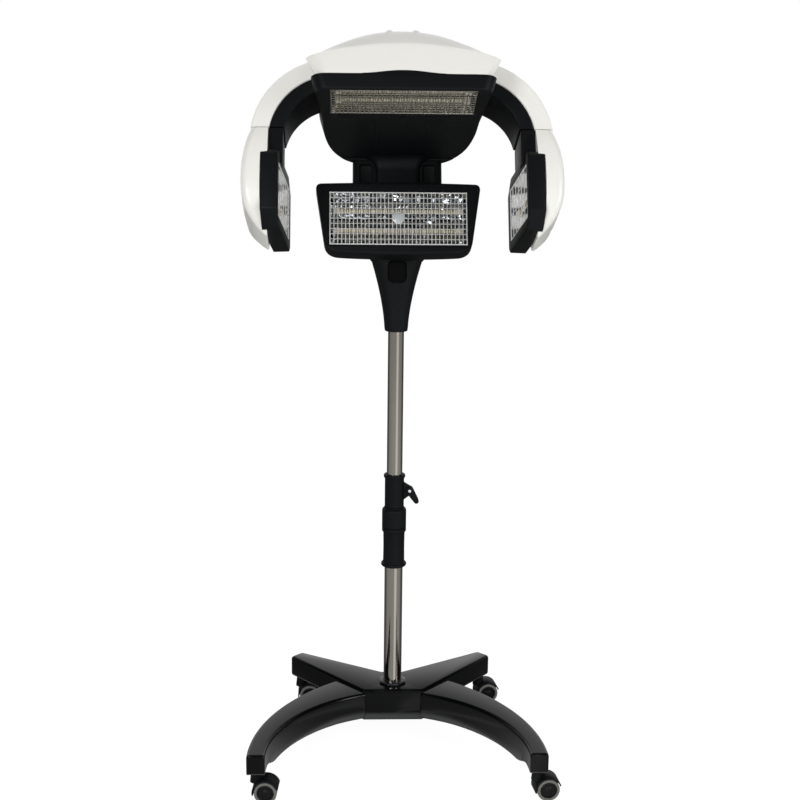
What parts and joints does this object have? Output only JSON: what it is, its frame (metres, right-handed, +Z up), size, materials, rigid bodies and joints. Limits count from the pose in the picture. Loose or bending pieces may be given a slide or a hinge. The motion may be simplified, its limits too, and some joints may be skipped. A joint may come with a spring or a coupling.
{
  "type": "hair color processor",
  "caption": "Salon hair colour processor: wheeled stand with telescopic mast, tilting neck and a head of grilled infrared lamps under a white hood.",
  "frame": {"origin": "floor point under the middle of the object's bounding box", "axes": "+Z up, the client sits on the -Y side, +X to the client's left"},
  "size_m": [0.6443, 0.5318, 1.536],
  "materials": {
    "black_paint": "gloss",
    "black_plastic": "satin",
    "white_plastic": "gloss",
    "chrome": "polished",
    "steel": "bright",
    "tread": "matte",
    "mirror": "polished",
    "quartz": "clear",
    "nylon": "matte",
    "panel": "satin"
  },
  "bodies": {
    "stand": {"base_hub": "black_paint", "front_leg_left": "black_paint", "front_leg_right": "black_paint", "foot_flange": "steel", "lower_tube": "chrome", "lower_sleeve": "black_plastic", "lock_ring": "black_plastic", "guide_bush": "nylon", "clamp_collar": "black_plastic", "lever_pin": "steel"},
    "lever": {"clamp_lever": "black_plastic"},
    "mast": {"upper_tube": "chrome"},
    "neck": {"neck_shell": "black_plastic", "swivel_bush": "nylon", "tilt_pin": "steel", "cord_gland": "nylon"},
    "release": {"tilt_button": "black_plastic"},
    "head": {"inner_shell": "black_plastic", "hood_cover": "white_plastic", "rear_cover": "white_plastic", "control_panel": "panel", "top_lamp_reflector": "mirror", "top_lamp_tube_1": "quartz", "top_lamp_tube_2": "quartz", "top_lamp_grille": "steel", "nape_housing": "black_plastic", "nape_lamp_reflector": "mirror", "nape_lamp_tube_1": "quartz", "nape_lamp_tube_2": "quartz", "nape_lamp_grille": "steel", "nape_sensor": "steel", "arm_shell_left": "white_plastic", "arm_frame_left": "black_plastic", "hinge_pin_left": "steel", "arm_shell_right": "white_plastic", "arm_frame_right": "black_plastic", "hinge_pin_right": "steel"},
    "rocker": {"power_switch": "black_plastic"},
    "side_left": {"side_cover_left": "white_plastic", "side_housing_left": "black_plastic", "side_lamp_left_reflector": "mirror", "side_lamp_left_tube_1": "quartz", "side_lamp_left_grille": "steel"},
    "side_right": {"side_cover_right": "white_plastic", "side_housing_right": "black_plastic", "side_lamp_right_reflector": "mirror", "side_lamp_right_tube_1": "quartz", "side_lamp_right_grille": "steel"},
    "caster_front_left": {"caster_hood_front_left": "black_plastic"},
    "wheels_front_left": {"caster_wheel_near_front_left": "tread", "caster_wheel_far_front_left": "tread"},
    "caster_front_right": {"caster_hood_front_right": "black_plastic"},
    "wheels_front_right": {"caster_wheel_near_front_right": "tread", "caster_wheel_far_front_right": "tread"},
    "caster_rear_left": {"caster_hood_rear_left": "black_plastic"},
    "wheels_rear_left": {"caster_wheel_near_rear_left": "tread", "caster_wheel_far_rear_left": "tread"},
    "caster_rear_right": {"caster_hood_rear_right": "black_plastic"},
    "wheels_rear_right": {"caster_wheel_near_rear_right": "tread", "caster_wheel_far_rear_right": "tread"}
  },
  "joints": [
    {"name": "height_slide", "type": "slide", "parent": "stand", "child": "mast", "axis": [0, 0, 1], "range_m": [-0.21, 0.14]},
    {"name": "head_swivel", "type": "hinge", "parent": "mast", "child": "neck", "pos_m": [-0.008, 0.0911, 0.94], "axis": [0, 0, 1], "range_deg": [-150, 150]},
    {"name": "head_tilt", "type": "hinge", "parent": "neck", "child": "head", "pos_m": [-0.008, 0.0911, 1.063], "axis": [1, 0, 0], "range_deg": [-15, 20]},
    {"name": "side_swing_left", "type": "hinge", "parent": "head", "child": "side_left", "pos_m": [-0.2942, -0.06813, 1.32729], "axis": [0, 0.9063, -0.4226], "range_deg": [0, 16]},
    {"name": "side_swing_right", "type": "hinge", "parent": "head", "child": "side_right", "pos_m": [0.2782, -0.06813, 1.32729], "axis": [0, -0.9063, 0.4226], "range_deg": [0, 16]},
    {"name": "clamp_flip", "type": "hinge", "parent": "stand", "child": "lever", "pos_m": [0.025, 0.0911, 0.562], "axis": [0, -1, 0], "range_deg": [0, 100]},
    {"name": "release_press", "type": "slide", "parent": "neck", "child": "release", "axis": [0, 1, 0], "range_m": [0, 0.003], "stiffness_N_per_m": 600},
    {"name": "power_rock", "type": "hinge", "parent": "head", "child": "rocker", "pos_m": [-0.008, 0.14191, 1.13199], "axis": [1, 0, 0], "range_deg": [-4, 4]},
    {"name": "swivel_front_left", "type": "hinge", "parent": "stand", "child": "caster_front_left", "pos_m": [-0.296, -0.2389, 0.066], "axis": [0, 0, 1], "continuous": true},
    {"name": "roll_front_left", "type": "hinge", "parent": "caster_front_left", "child": "wheels_front_left", "pos_m": [-0.27605, -0.2403, 0.02354], "axis": [0.0698, 0.9976, 0], "continuous": true},
    {"name": "swivel_front_right", "type": "hinge", "parent": "stand", "child": "caster_front_right", "pos_m": [0.28, -0.2389, 0.066], "axis": [0, 0, 1], "continuous": true},
    {"name": "roll_front_right", "type": "hinge", "parent": "caster_front_right", "child": "wheels_front_right", "pos_m": [0.29989, -0.23681, 0.02354], "axis": [-0.1045, 0.9945, 0], "continuous": true},
    {"name": "swivel_rear_left", "type": "hinge", "parent": "stand", "child": "caster_rear_left", "pos_m": [-0.216, 0.2391, 0.066], "axis": [0, 0, 1], "continuous": true},
    {"name": "roll_rear_left", "type": "hinge", "parent": "caster_rear_left", "child": "wheels_rear_left", "pos_m": [-0.196, 0.2391, 0.02354], "axis": [0, 1, 0], "continuous": true},
    {"name": "swivel_rear_right", "type": "hinge", "parent": "stand", "child": "caster_rear_right", "pos_m": [0.2, 0.2391, 0.066], "axis": [0, 0, 1], "continuous": true},
    {"name": "roll_rear_right", "type": "hinge", "parent": "caster_rear_right", "child": "wheels_rear_right", "pos_m": [0.21981, 0.24188, 0.02354], "axis": [-0.1392, 0.9903, 0], "continuous": true}
  ]
}
